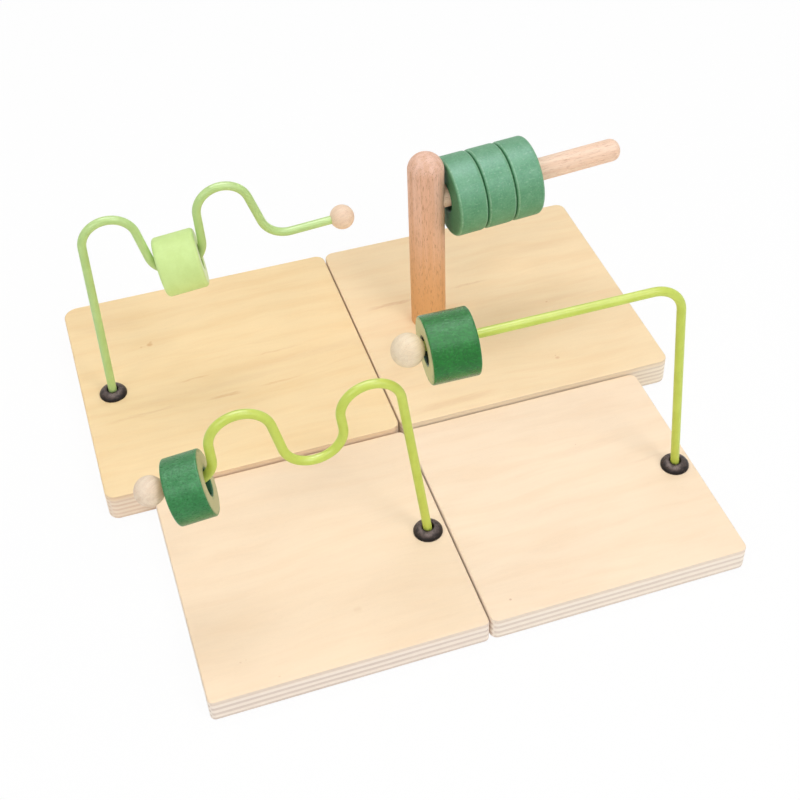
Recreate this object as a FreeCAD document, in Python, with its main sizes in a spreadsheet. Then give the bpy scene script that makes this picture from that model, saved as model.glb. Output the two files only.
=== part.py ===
# Four free-standing bead stations on square plywood boards, set two by two.
# The rear boards are larger and thicker than the front ones. Three stations carry a bent
# wire with a bead that travels on it and a ball that stops it. The fourth carries a post
# with a slanting rod for three stacking discs.
# Lengths are in millimetres and angles in degrees. X runs right, Y to the rear and Z up.
# The origin lies on the table, under the middle of the whole set.

import math
import os

import FreeCAD
import Part
import Sketcher
from FreeCAD import Placement, Rotation, Vector

SIZES = [
    # Boards
    ("back_size", 175.0, "side of a rear board"),
    ("back_thick", 18.0, "thickness of a rear board"),
    ("front_size", 150.0, "side of a front board"),
    ("front_thick", 15.0, "thickness of a front board"),
    ("back_round", 6.0, "radius of the rear boards' corners"),
    ("far_round", 9.0, "radius of the rear left board's far left corner"),
    ("left_round", 3.0, "radius of the front left board's corners"),
    ("right_round", 4.5, "radius of the front right board's corners"),
    ("edge_round", 1.0, "eased edges of the boards"),
    ("board_gap", 0.9, "gap between neighbouring boards"),
    ("front_shift", 1.0, "front pair set this far to the right"),
    # Wires
    ("wire_wide", 5.0, "diameter of the wires"),
    ("wire_fit", 0.1, "clearance around a wire in a hole"),
    ("lean_bend", 15.0, "radius of the small bend above the board"),
    ("back_leg_inset", 18.5, "rear leg from its board's left edge"),
    ("back_leg_ahead", 1.6, "rear leg ahead of its board's middle"),
    ("front_leg_inset", 10.7, "front legs from their boards' right edges"),
    ("front_leg_ahead", 4.0, "front legs ahead of their boards' middles"),
    # Rear wire, from its board to its ball
    ("back_lean_angle", 1.0, "lean of the leg"),
    ("back_leg_run", 110.5, "straight of the leg"),
    ("back_hump_bend", 15.35, "bend radius of both humps"),
    ("back_rise_turn_angle", 166.0, "turn over the first hump"),
    ("back_fall_run", 19.2, "straight down to the valley"),
    ("valley_room", 1.0, "room beside the bead in the valley"),
    ("back_valley_turn_angle", 168.5, "turn through the valley"),
    ("back_climb_run", 18.2, "straight up to the second hump"),
    ("back_crest_turn_angle", 163.5, "turn over the second hump"),
    ("back_drop_run", 19.0, "straight down to the tail"),
    ("back_tail_bend", 16.5, "bend radius into the tail"),
    ("back_tail_turn_angle", 76.0, "turn into the tail"),
    ("back_tail_run", 31.0, "straight of the tail to the ball's middle"),
    # Front left wire, from its board to its ball
    ("left_lean_angle", 6.5, "lean of the leg"),
    ("left_leg_run", 105.5, "straight of the leg"),
    ("left_hump_bend", 16.0, "bend radius of the humps and the valley"),
    ("left_rise_turn_angle", 179.5, "turn over the first hump"),
    ("left_fall_run", 7.0, "straight down to the valley"),
    ("left_valley_turn_angle", 173.5, "turn through the valley"),
    ("left_climb_run", 18.5, "straight up to the second hump"),
    ("left_crest_turn_angle", 169.5, "turn over the second hump"),
    ("left_drop_run", 9.6, "straight down to the tail"),
    ("left_tail_bend", 12.0, "bend radius into the tail"),
    ("left_tail_turn_angle", 98.5, "turn into the tail"),
    ("left_tail_run", 19.0, "straight of the tail to the ball's middle"),
    # Front right wire, from its board to its ball
    ("right_lean_angle", 5.0, "lean of the leg"),
    ("right_leg_run", 120.0, "straight of the leg"),
    ("right_bend", 18.0, "bend radius between leg and arm"),
    ("right_turn_angle", 85.0, "turn between leg and arm"),
    ("right_ball_past", 19.65, "ball's middle past the board's left edge"),
    # Collars and the fixings under the boards
    ("collar_wide", 16.5, "diameter of a collar"),
    ("collar_high", 4.0, "height of a collar"),
    ("collar_rim", 0.8, "upright rim of a collar"),
    ("collar_room", 0.6, "room around the wire in a collar"),
    ("collar_lip", 0.5, "rounding of the mouth of a collar"),
    ("sink_wide", 15.0, "diameter of the recess under a board"),
    ("sink_deep", 7.0, "depth of the recess under a board"),
    ("washer_wide", 12.0, "diameter of a washer"),
    ("washer_thick", 1.0, "thickness of a washer"),
    ("nut_flats", 8.0, "width of a nut across its flats"),
    ("nut_thick", 4.0, "thickness of a nut"),
    ("wire_past", 1.0, "wire standing out below its nut"),
    # Balls
    ("back_ball", 14.5, "diameter of the rear ball"),
    ("left_ball", 15.5, "diameter of the front left ball"),
    ("right_ball", 17.0, "diameter of the front right ball"),
    ("ball_bottom", 0.5, "depth of a ball's hole past the wire's end"),
    # Beads
    ("bead_wide", 35.0, "diameter of the beads"),
    ("bead_bore", 14.5, "bore of the beads"),
    ("bead_long", 24.6, "length of the rear and front right beads"),
    ("bead_short", 19.1, "length of the front left bead"),
    ("back_bead_round", 2.3, "rounded rim of the rear bead"),
    ("bead_round", 1.2, "rounded rim of the front beads"),
    ("bead_chamfer", 0.8, "chamfer at the bores of beads and discs"),
    ("run_gap", 0.3, "gap between a hanging piece and what carries it"),
    ("back_bead_ease", 0.6, "rear bead above its lowest seat"),
    ("back_bead_tilt_angle", 8.8, "tilt of the rear bead"),
    ("back_bead_turn_angle", -5.0, "turn of the rear bead about the upright"),
    ("left_bead_lift", 3.25, "front left bead held up by the rising wire"),
    ("left_bead_swing_angle", 4.1, "front left bead past its bend towards the ball"),
    ("left_bead_ahead", 1.0, "front left bead ahead of its wire's plane"),
    ("left_bead_tilt_angle", 12.4, "tilt of the front left bead"),
    ("left_bead_turn_angle", -7.6, "turn of the front left bead about the upright"),
    ("right_bead_gap", 0.3, "front right bead's end past its ball's side"),
    ("right_bead_ease", 0.2, "front right bead above its lowest seat"),
    ("right_bead_behind", 0.5, "front right bead behind its wire's plane"),
    ("right_bead_tilt_angle", 2.2, "tilt of the front right bead"),
    ("right_bead_turn_angle", -3.2, "turn of the front right bead about the upright"),
    # Post, rod and discs
    ("post_inset", 46.5, "post from its board's left edge"),
    ("post_behind", 1.0, "post behind its board's middle"),
    ("post_wide", 22.0, "diameter of the post"),
    ("post_high", 125.0, "height of the post above its board"),
    ("post_dome", 10.5, "radius of the post's domed top"),
    ("rod_high", 92.4, "middle of the rod's socket above the board"),
    ("rod_tilt_angle", 1.8, "upward slant of the rod"),
    ("rod_turn_angle", 3.0, "turn of the post and its rod to the rear"),
    ("rod_wide", 14.0, "diameter of the rod"),
    ("rod_fit", 0.1, "clearance around the rod in its socket"),
    ("socket_past", 5.0, "socket past the middle of the post"),
    ("rod_long", 133.4, "length of the rod"),
    ("rod_round", 5.5, "rounding of the rod's free end"),
    ("rod_ease", 0.8, "rounding of the rod's hidden end"),
    ("disc_wide", 48.9, "diameter of the discs"),
    ("disc_thick", 18.2, "thickness of a disc"),
    ("disc_bore", 17.8, "bore of the discs"),
    ("disc_round", 2.2, "rounded rim of the discs"),
    ("disc_start", 12.5, "first disc from the post's middle along the rod"),
    ("disc_gap", 0.3, "gap between discs"),
    # Screw of the post
    ("screw_wide", 4.5, "diameter of the screw"),
    ("screw_head", 9.0, "diameter of the screw's head"),
    ("screw_long", 40.0, "length of the screw with its head"),
    ("screw_point", 5.0, "length of the screw's point"),
    ("screw_tip", 0.6, "diameter of the screw's tip"),
    ("screw_sunk", 0.5, "head below the underside"),
    ("screw_rim", 0.4, "upright rim of the head"),
    ("cross_wide", 4.8, "reach of the cross recess in the head"),
    ("cross_slot", 1.1, "width of the arms of the cross recess"),
    ("cross_deep", 2.0, "depth of the cross recess"),
    ("screw_fit", 0.1, "clearance around the screw"),
    ("pilot_past", 1.0, "pilot hole past the screw's tip"),
    # One overrun for every cut
    ("overrun", 2.0, "cuts run this far past the solid"),
]

FULL_TURN = 360.0
RIGHT_ANGLE = 90.0
NEAR = 1e-4

doc = FreeCAD.newDocument("bead_stations")
sheet = doc.addObject("Spreadsheet::Sheet", "Sizes")
for row, (alias, size, meaning) in enumerate(SIZES, start=1):
    sheet.set("A%d" % row, meaning)
    sheet.set("B%d" % row, repr(size))
    sheet.setAlias("B%d" % row, alias)
doc.recompute()


def number(text):
    """Value of an expression written with the sheet's names."""
    found = sheet.evalExpression(text)
    return float(getattr(found, "Value", found))


# Where each station stands, as expressions of the sheet
STATIONS = {
    "back_left": {
        "size": "Sizes.back_size",
        "thick": "Sizes.back_thick",
        "round": "Sizes.back_round",
        "x": "-(Sizes.back_size + Sizes.board_gap) / 2",
        "y": "(Sizes.front_size + Sizes.board_gap) / 2",
        "leg_x": "Sizes.back_leg_inset - Sizes.back_size / 2",
        "leg_y": "-Sizes.back_leg_ahead",
    },
    "back_right": {
        "size": "Sizes.back_size",
        "thick": "Sizes.back_thick",
        "round": "Sizes.back_round",
        "x": "(Sizes.back_size + Sizes.board_gap) / 2",
        "y": "(Sizes.front_size + Sizes.board_gap) / 2",
        "leg_x": "Sizes.post_inset - Sizes.back_size / 2",
        "leg_y": "Sizes.post_behind",
    },
    "front_left": {
        "size": "Sizes.front_size",
        "thick": "Sizes.front_thick",
        "round": "Sizes.left_round",
        "x": "Sizes.front_shift - (Sizes.front_size + Sizes.board_gap) / 2",
        "y": "-(Sizes.back_size + Sizes.board_gap) / 2",
        "leg_x": "Sizes.front_size / 2 - Sizes.front_leg_inset",
        "leg_y": "-Sizes.front_leg_ahead",
    },
    "front_right": {
        "size": "Sizes.front_size",
        "thick": "Sizes.front_thick",
        "round": "Sizes.right_round",
        "x": "Sizes.front_shift + (Sizes.front_size + Sizes.board_gap) / 2",
        "y": "-(Sizes.back_size + Sizes.board_gap) / 2",
        "leg_x": "Sizes.front_size / 2 - Sizes.front_leg_inset",
        "leg_y": "-Sizes.front_leg_ahead",
    },
}

VALLEY = "Sizes.bead_long / 2 + Sizes.wire_wide / 2 + Sizes.valley_room"

# Straight of the level arm: what is left of its reach after the leg and the bends
RIGHT_END_ANGLE = "(Sizes.right_lean_angle + Sizes.right_turn_angle)"
RIGHT_REACH = "Sizes.front_size - Sizes.front_leg_inset + Sizes.right_ball_past"
RIGHT_LEG = (
    "Sizes.lean_bend * (1 - cos(Sizes.right_lean_angle))"
    " + Sizes.right_leg_run * sin(Sizes.right_lean_angle)"
    " + Sizes.right_bend * (cos(Sizes.right_lean_angle) - cos(" + RIGHT_END_ANGLE + "))"
)
RIGHT_ARM = "(" + RIGHT_REACH + " - (" + RIGHT_LEG + ")) / sin(" + RIGHT_END_ANGLE + ")"

# Each wire: the side that it reaches to, its lean, and its runs and turns in order.
# A turn has its bend radius, its angle and +1 where it curls over or -1 where it dips.
WIRES = {
    "back_left": {
        "side": 1,
        "lean": "Sizes.back_lean_angle",
        "steps": [
            ("run", "Sizes.back_leg_run"),
            ("turn", "Sizes.back_hump_bend", "Sizes.back_rise_turn_angle", 1),
            ("run", "Sizes.back_fall_run"),
            ("turn", VALLEY, "Sizes.back_valley_turn_angle", -1),
            ("run", "Sizes.back_climb_run"),
            ("turn", "Sizes.back_hump_bend", "Sizes.back_crest_turn_angle", 1),
            ("run", "Sizes.back_drop_run"),
            ("turn", "Sizes.back_tail_bend", "Sizes.back_tail_turn_angle", -1),
            ("run", "Sizes.back_tail_run"),
        ],
    },
    "front_left": {
        "side": -1,
        "lean": "Sizes.left_lean_angle",
        "steps": [
            ("run", "Sizes.left_leg_run"),
            ("turn", "Sizes.left_hump_bend", "Sizes.left_rise_turn_angle", 1),
            ("run", "Sizes.left_fall_run"),
            ("turn", "Sizes.left_hump_bend", "Sizes.left_valley_turn_angle", -1),
            ("run", "Sizes.left_climb_run"),
            ("turn", "Sizes.left_hump_bend", "Sizes.left_crest_turn_angle", 1),
            ("run", "Sizes.left_drop_run"),
            ("turn", "Sizes.left_tail_bend", "Sizes.left_tail_turn_angle", -1),
            ("run", "Sizes.left_tail_run"),
        ],
    },
    "front_right": {
        "side": -1,
        "lean": "Sizes.right_lean_angle",
        "steps": [
            ("run", "Sizes.right_leg_run"),
            ("turn", "Sizes.right_bend", "Sizes.right_turn_angle", 1),
            ("run", RIGHT_ARM),
        ],
    },
}

# Wire's lower end above the table, in the recess of its board
FOOT = "(Sizes.sink_deep - Sizes.washer_thick - Sizes.nut_thick - Sizes.wire_past)"


def new_body(name):
    """Empty body that bears the piece's name."""
    body = doc.addObject("PartDesign::Body", name)
    body.Label = name
    return body


def plane_of(body, role):
    """Origin plane of a body by its role, such as XY_Plane."""
    return [item for item in body.Origin.OriginFeatures if item.Role == role][0]


def new_sketch(body, role, name, lift=None):
    """Sketch on an origin plane, lifted along the plane's normal."""
    sketch = body.newObject("Sketcher::SketchObject", name)
    sketch.AttachmentSupport = [(plane_of(body, role), "")]
    sketch.MapMode = "FlatFace"
    if lift is not None:
        sketch.setExpression("AttachmentOffset.Base.z", lift)
    return sketch


def bind(sketch, kind, items, expression, angle=False):
    """Adds one sized constraint and ties it to the sheet."""
    start = math.radians(number(expression)) if angle else number(expression)
    index = sketch.addConstraint(Sketcher.Constraint(kind, *items, start))
    unit = " * 1 deg" if angle else ""
    sketch.setExpression("Constraints[%d]" % index, "(" + expression + ")" + unit)
    return index


def add_circle(sketch, across, x="0", y="0"):
    """Circle with its diameter and its middle tied to the sheet."""
    middle = Vector(number(x), number(y), 0)
    circle = Part.Circle(middle, Vector(0, 0, 1), number(across) / 2)
    item = sketch.addGeometry(circle, False)
    bind(sketch, "Diameter", (item,), across)
    if x == "0" and y == "0":
        sketch.addConstraint(Sketcher.Constraint("Coincident", item, 3, -1, 1))
    else:
        bind(sketch, "DistanceX", (-1, 1, item, 3), x)
        bind(sketch, "DistanceY", (-1, 1, item, 3), y)
    return item


def add_outline(sketch, points, arcs=()):
    """Closed outline through points given as pairs of expressions.

    arcs holds (index, bulge point) for the sides that are arcs instead of lines.
    """
    spots = [Vector(number(x), number(y), 0) for x, y in points]
    bulges = dict(arcs)
    first = None
    items = []
    for index, spot in enumerate(spots):
        after = spots[(index + 1) % len(spots)]
        if index in bulges:
            middle = Vector(number(bulges[index][0]), number(bulges[index][1]), 0)
            edge = Part.Arc(spot, middle, after)
        else:
            edge = Part.LineSegment(spot, after)
        items.append(sketch.addGeometry(edge, False))
        first = items[0] if first is None else first
    return items, spots


def ends_of(sketch, item, start):
    """Point numbers of an edge's start and end, by where it starts."""
    if (sketch.getPoint(item, 1) - start).Length < NEAR:
        return 1, 2
    return 2, 1


def close_outline(sketch, items, spots):
    """Joins the edges of an outline end to end."""
    marks = [ends_of(sketch, item, spot) for item, spot in zip(items, spots)]
    for index, item in enumerate(items):
        after = (index + 1) % len(items)
        joint = ("Coincident", item, marks[index][1], items[after], marks[after][0])
        sketch.addConstraint(Sketcher.Constraint(*joint))
    return marks


def outline_sketch(body, role, name, points, arcs=(), radii=()):
    """Closed outline with every corner tied to the sheet, for turned pieces."""
    sketch = new_sketch(body, role, name)
    items, spots = add_outline(sketch, points, arcs)
    marks = close_outline(sketch, items, spots)
    for item, mark, (x, y) in zip(items, marks, points):
        if x == "0":
            sketch.addConstraint(Sketcher.Constraint("PointOnObject", item, mark[0], -2))
        else:
            bind(sketch, "DistanceX", (-1, 1, item, mark[0]), x)
        if y == "0":
            sketch.addConstraint(Sketcher.Constraint("PointOnObject", item, mark[0], -1))
        else:
            bind(sketch, "DistanceY", (-1, 1, item, mark[0]), y)
    for index, radius in radii:
        bind(sketch, "Radius", (items[index],), radius)
    return sketch


def pad(body, sketch, name, length):
    """Pad up from the sketch's plane."""
    feature = body.newObject("PartDesign::Pad", name)
    feature.Profile = sketch
    feature.setExpression("Length", length)
    doc.recompute()
    return feature


def pocket_up(body, sketch, name, length):
    """Pocket that cuts from the sketch's plane upwards."""
    feature = body.newObject("PartDesign::Pocket", name)
    feature.Profile = sketch
    feature.Reversed = True
    feature.setExpression("Length", length)
    doc.recompute()
    return feature


def turned(body, sketch, name, axis="V_Axis", cut=False):
    """Full turn of a sketch about one of its axes, as a solid or as a cut."""
    kind = "PartDesign::Groove" if cut else "PartDesign::Revolution"
    feature = body.newObject(kind, name)
    feature.Profile = sketch
    feature.ReferenceAxis = (sketch, [axis])
    feature.Angle = FULL_TURN
    doc.recompute()
    return feature


def dress(body, kind, base, name, size, wanted):
    """Fillet or chamfer on the edges of a feature that the test picks."""
    edges = base.Shape.Edges
    names = ["Edge%d" % (n + 1) for n, edge in enumerate(edges) if wanted(edge)]
    feature = body.newObject("PartDesign::" + kind, name)
    feature.Base = (base, names)
    feature.setExpression("Radius" if kind == "Fillet" else "Size", size)
    doc.recompute()
    return feature


def place(piece, x, y, z, turn=None):
    """Ties a piece's place to the sheet, after any turn is set."""
    if turn is not None:
        piece.Placement = Placement(Vector(0, 0, 0), turn)
    piece.setExpression("Placement.Base.x", x)
    piece.setExpression("Placement.Base.y", y)
    piece.setExpression("Placement.Base.z", z)


def leg_place(station):
    """Expressions for where the leg or post of a station stands."""
    where = STATIONS[station]
    return where["x"] + " + " + where["leg_x"], where["y"] + " + " + where["leg_y"]


def upright(edge):
    """True for a straight edge along Z."""
    if edge.Curve.TypeId != "Part::GeomLine":
        return False
    return abs(abs(edge.Curve.Direction.z) - 1) < NEAR


def far_left(edge):
    """True for the upright edge at a board's far left corner."""
    return upright(edge) and edge.CenterOfMass.x < 0 < edge.CenterOfMass.y


def sharp_corner(half):
    """Test for the upright edges of a board that are not rounded yet."""
    reach = number(half) - NEAR
    return lambda edge: upright(edge) and min(abs(edge.CenterOfMass.x), abs(edge.CenterOfMass.y)) > reach


def make_board(station):
    """Square board with round corners, eased edges, a leg hole and a recess below."""
    where = STATIONS[station]
    half = where["size"] + " / 2"
    body = new_body(station + "_board")
    corners = [("-" + half, "-" + half), (half, "-" + half), (half, half), ("-" + half, half)]
    square = outline_sketch(body, "XY_Plane", station + "_square", corners)
    blank = pad(body, square, station + "_blank", where["thick"])
    if station == "back_left":
        blank = dress(body, "Fillet", blank, station + "_far_corner", "Sizes.far_round", far_left)
    rounds = dress(body, "Fillet", blank, station + "_corners", where["round"], sharp_corner(half))
    level = number(where["thick"]) / 2
    eased = dress(body, "Fillet", rounds, station + "_eased", "Sizes.edge_round",
                  lambda edge: abs(edge.CenterOfMass.z - level) > level - NEAR)
    if station == "back_right":
        screw_hole(body, where)
    else:
        leg_hole(body, station, where)
    place(body, where["x"], where["y"], "0 mm")
    return body


def leg_hole(body, station, where):
    """Hole for the wire and a round recess for its washer and nut."""
    hole = new_sketch(body, "XY_Plane", station + "_leg_circle")
    add_circle(hole, "Sizes.wire_wide + 2 * Sizes.wire_fit", where["leg_x"], where["leg_y"])
    pocket_up(body, hole, station + "_leg_hole", where["thick"] + " + Sizes.overrun")
    sink = new_sketch(body, "XY_Plane", station + "_sink_circle")
    add_circle(sink, "Sizes.sink_wide", where["leg_x"], where["leg_y"])
    pocket_up(body, sink, station + "_sink", "Sizes.sink_deep")


SHANK_HOLE = "(Sizes.screw_wide / 2 + Sizes.screw_fit)"
HEAD_HOLE = "(Sizes.screw_head / 2 + Sizes.screw_fit)"


def screw_hole(body, where):
    """Countersunk clearance hole for the screw that holds the post."""
    hole = new_sketch(body, "XY_Plane", "back_right_screw_circle")
    add_circle(hole, "2 * " + SHANK_HOLE, where["leg_x"], where["leg_y"])
    pocket_up(body, hole, "back_right_screw_hole", where["thick"] + " + Sizes.overrun")
    mouth = "Sizes.screw_sunk + Sizes.screw_rim"
    cone = mouth + " + " + HEAD_HOLE + " - " + SHANK_HOLE
    points = [
        ("0", "0 - Sizes.overrun"),
        (HEAD_HOLE, "0 - Sizes.overrun"),
        (HEAD_HOLE, mouth),
        (SHANK_HOLE, cone),
        ("0", cone),
    ]
    profile = outline_sketch(body, "XZ_Plane", "back_right_sink_outline", points)
    profile.setExpression("AttachmentOffset.Base.x", where["leg_x"])
    profile.setExpression("AttachmentOffset.Base.z", "-(" + where["leg_y"] + ")")
    turned(body, profile, "back_right_sink", cut=True)


def trace(station):
    """Runs and bends of a wire in its own upright plane, from its foot to its end."""
    wire = WIRES[station]
    side = wire["side"]
    rise = STATIONS[station]["thick"] + " - " + FOOT
    steps = [("run", rise), ("turn", "Sizes.lean_bend", wire["lean"], 1)] + wire["steps"]
    spot = Vector(0, number(FOOT), 0)
    heading = math.radians(RIGHT_ANGLE)
    parts = []
    for step in steps:
        ahead = Vector(math.cos(heading), math.sin(heading), 0)
        if step[0] == "run":
            after = spot + ahead * number(step[1])
            parts.append({"kind": "run", "start": spot, "end": after, "length": step[1]})
            spot = after
            continue
        radius = number(step[1])
        angle = math.radians(number(step[2])) * step[3]
        inward = Vector(ahead.y, -ahead.x, 0) * (step[3] * side)
        middle = spot + inward * radius
        turn = Rotation(Vector(0, 0, 1), -math.degrees(angle) * side)
        half = Rotation(Vector(0, 0, 1), -math.degrees(angle) * side / 2)
        bulge = middle + half.multVec(spot - middle)
        after = middle + turn.multVec(spot - middle)
        parts.append({"kind": "turn", "start": spot, "bulge": bulge, "end": after,
                      "middle": middle, "radius": step[1], "angle": step[2]})
        spot = after
        heading -= angle * side
    return parts, heading


def spine_sketch(body, station, parts):
    """Centre line of a wire, fully sized: lengths, bend radii and turns."""
    spine = new_sketch(body, "XZ_Plane", station + "_centre_line")
    items = []
    marks = []
    for part in parts:
        if part["kind"] == "run":
            edge = Part.LineSegment(part["start"], part["end"])
        else:
            edge = Part.Arc(part["start"], part["bulge"], part["end"])
        items.append(spine.addGeometry(edge, False))
        marks.append(ends_of(spine, items[-1], part["start"]))
    foot = (items[0], marks[0][0])
    spine.addConstraint(Sketcher.Constraint("PointOnObject", foot[0], foot[1], -2))
    bind(spine, "DistanceY", (-1, 1, foot[0], foot[1]), FOOT)
    spine.addConstraint(Sketcher.Constraint("Vertical", items[0]))
    for before in range(len(items) - 1):
        after = before + 1
        joint = (items[before], marks[before][1], items[after], marks[after][0])
        spine.addConstraint(Sketcher.Constraint("Tangent", *joint))
    for item, part in zip(items, parts):
        if part["kind"] == "run":
            bind(spine, "Distance", (item,), part["length"])
        else:
            bind(spine, "Radius", (item,), part["radius"])
            bind(spine, "Angle", (item,), part["angle"], angle=True)
    return spine


def make_wire(station):
    """Round wire swept along its bent centre line."""
    body = new_body(station + "_wire")
    parts, heading = trace(station)
    spine = spine_sketch(body, station, parts)
    section = new_sketch(body, "XY_Plane", station + "_wire_circle", FOOT)
    add_circle(section, "Sizes.wire_wide")
    doc.recompute()
    sweep = body.newObject("PartDesign::AdditivePipe", station + "_bent_wire")
    sweep.Profile = section
    sweep.Spine = (spine, [])
    doc.recompute()
    x, y = leg_place(station)
    place(body, x, y, "0 mm")
    return body


COLLAR_HOLE = "(Sizes.wire_wide / 2 + Sizes.collar_room)"
COLLAR_DOME = 2
POST_DOME = 2


def make_collar(station):
    """Low domed collar around the wire on top of the board."""
    body = new_body(station + "_collar")
    lip = COLLAR_HOLE + " + Sizes.collar_lip"
    wide = "Sizes.collar_wide / 2"
    rise = number("Sizes.collar_high - Sizes.collar_rim")
    run = number(wide) - number(lip)
    radius = (run * run + rise * rise) / (2 * rise)
    lean = math.asin(run / radius) / 2
    middle_x = number(lip) + radius * math.sin(lean)
    middle_y = number("Sizes.collar_high") - radius * (1 - math.cos(lean))
    points = [
        (COLLAR_HOLE, "0"),
        (wide, "0"),
        (wide, "Sizes.collar_rim"),
        (lip, "Sizes.collar_high"),
        (COLLAR_HOLE, "Sizes.collar_high - Sizes.collar_lip"),
    ]
    bulge = ("%r mm" % middle_x, "%r mm" % middle_y)
    dome = "((%s - (%s)) ^ 2 + (Sizes.collar_high - Sizes.collar_rim) ^ 2)" % (wide, lip)
    dome += " / (2 * (Sizes.collar_high - Sizes.collar_rim))"
    profile = outline_sketch(body, "XZ_Plane", station + "_collar_outline", points,
                             arcs=[(COLLAR_DOME, bulge)], radii=[(COLLAR_DOME, dome)])
    turned(body, profile, station + "_collar_turned")
    x, y = leg_place(station)
    place(body, x, y, STATIONS[station]["thick"])
    return body


def make_washer(station):
    """Flat washer against the top of the recess."""
    body = new_body(station + "_washer")
    ring = new_sketch(body, "XY_Plane", station + "_washer_circles")
    add_circle(ring, "Sizes.washer_wide")
    add_circle(ring, "Sizes.wire_wide + 2 * Sizes.wire_fit")
    pad(body, ring, station + "_washer_blank", "Sizes.washer_thick")
    x, y = leg_place(station)
    place(body, x, y, "Sizes.sink_deep - Sizes.washer_thick")
    return body


def make_nut(station):
    """Hexagon nut under the washer, with chamfered corners."""
    body = new_body(station + "_nut")
    across = "(Sizes.nut_flats / 2 / cos(30 deg))"
    rise = "(Sizes.nut_flats / 2)"
    side = "(" + across + " / 2)"
    corners = [(across, "0"), (side, rise), ("-" + side, rise), ("-" + across, "0"),
               ("-" + side, "-" + rise), (side, "-" + rise)]
    hexagon = outline_sketch(body, "XY_Plane", station + "_hexagon", corners)
    pad(body, hexagon, station + "_nut_blank", "Sizes.nut_thick")
    hole = new_sketch(body, "XY_Plane", station + "_nut_circle")
    add_circle(hole, "Sizes.wire_wide + 2 * Sizes.wire_fit")
    pocket_up(body, hole, station + "_nut_hole", "Sizes.nut_thick + Sizes.overrun")
    far = "(" + across + " + Sizes.overrun)"
    slope = "(" + far + " - " + rise + ") * tan(30 deg)"
    for end, level, way in (("lower", "0", ""), ("upper", "Sizes.nut_thick", "-")):
        if way:
            bevel = [(rise, level), (far, level), (far, level + " - " + slope)]
        else:
            bevel = [(rise, level), (far, level), (far, slope)]
        profile = outline_sketch(body, "XZ_Plane", station + "_nut_" + end + "_outline", bevel)
        turned(body, profile, station + "_nut_" + end + "_bevel", cut=True)
    x, y = leg_place(station)
    place(body, x, y, "Sizes.sink_deep - Sizes.washer_thick - Sizes.nut_thick")
    return body


def spot_on_wire(station, spot):
    """Point of a wire's plane in the whole set's frame."""
    x, y = leg_place(station)
    return Vector(number(x) + spot.x, number(y), spot.y)


def make_ball(station, across):
    """Wooden ball with a blind hole for the wire's end."""
    parts, heading = trace(station)
    ball = doc.addObject("Part::Sphere", station + "_sphere")
    ball.setExpression("Radius", across + " / 2")
    hole = doc.addObject("Part::Cylinder", station + "_ball_hole")
    hole.setExpression("Radius", "Sizes.wire_wide / 2 + Sizes.wire_fit")
    hole.setExpression("Height", across + " / 2 + Sizes.ball_bottom + Sizes.overrun")
    hole.setExpression("Placement.Base.z", "-(" + across + " / 2 + Sizes.overrun)")
    piece = doc.addObject("Part::Cut", station + "_ball")
    piece.Label = station + "_ball"
    piece.Base = ball
    piece.Tool = hole
    ahead = Vector(math.cos(heading), 0, math.sin(heading))
    where = spot_on_wire(station, parts[-1]["end"])
    piece.Placement = Placement(where, Rotation(Vector(0, 0, 1), ahead))
    return piece


def turned_ring(name, wide, bore, long, soft):
    """Thick ring along X: a blank with a bore, round rims and chamfered bore mouths."""
    body = new_body(name)
    circle = new_sketch(body, "YZ_Plane", name + "_circle", "-(" + long + ") / 2")
    add_circle(circle, wide)
    blank = pad(body, circle, name + "_blank", long)
    hole = new_sketch(body, "YZ_Plane", name + "_bore_circle", "-(" + long + ") / 2 - Sizes.overrun")
    add_circle(hole, bore)
    bored = pocket_up(body, hole, name + "_bore", long + " + 2 * Sizes.overrun")
    inner = number(bore) / 2
    outer = number(wide) / 2

    def on_radius(radius):
        return lambda edge: (edge.Curve.TypeId == "Part::GeomCircle"
                             and abs(edge.Curve.Radius - radius) < NEAR)

    rims = dress(body, "Fillet", bored, name + "_rims", soft, on_radius(outer))
    dress(body, "Chamfer", rims, name + "_mouths", "Sizes.bead_chamfer", on_radius(inner))
    return body


def bead_turn(tilt, turn):
    """Rotation of a bead: tilted up to the right, then turned about the upright."""
    tilted = Rotation(Vector(0, -1, 0), number(tilt))
    return Rotation(Vector(0, 0, 1), number(turn)).multiply(tilted)


BORE = "Sizes.bead_bore / 2"
WIRE = "Sizes.wire_wide / 2"


def bend_middle(station, index):
    """Middle of one of a wire's bends, in the whole set's frame."""
    bends = [part for part in trace(station)[0] if part["kind"] == "turn"]
    return spot_on_wire(station, bends[index]["middle"])


def make_back_bead():
    """Bead that hangs in the valley of the rear wire."""
    body = turned_ring("back_left_bead", "Sizes.bead_wide", "Sizes.bead_bore",
                       "Sizes.bead_long", "Sizes.back_bead_round")
    inside = "(" + VALLEY + " - " + WIRE + " - Sizes.run_gap)"
    span = "sqrt(" + inside + " ^ 2 - (Sizes.bead_long / 2) ^ 2)"
    depth = number(BORE + " + " + span + " + Sizes.bead_chamfer - Sizes.back_bead_ease")
    tilt = math.radians(number("Sizes.back_bead_tilt_angle"))
    middle = bend_middle("back_left", 2)
    where = middle + Vector(math.sin(tilt), 0, -math.cos(tilt)) * depth
    body.Placement = Placement(where, bead_turn("Sizes.back_bead_tilt_angle", "Sizes.back_bead_turn_angle"))
    return body


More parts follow.
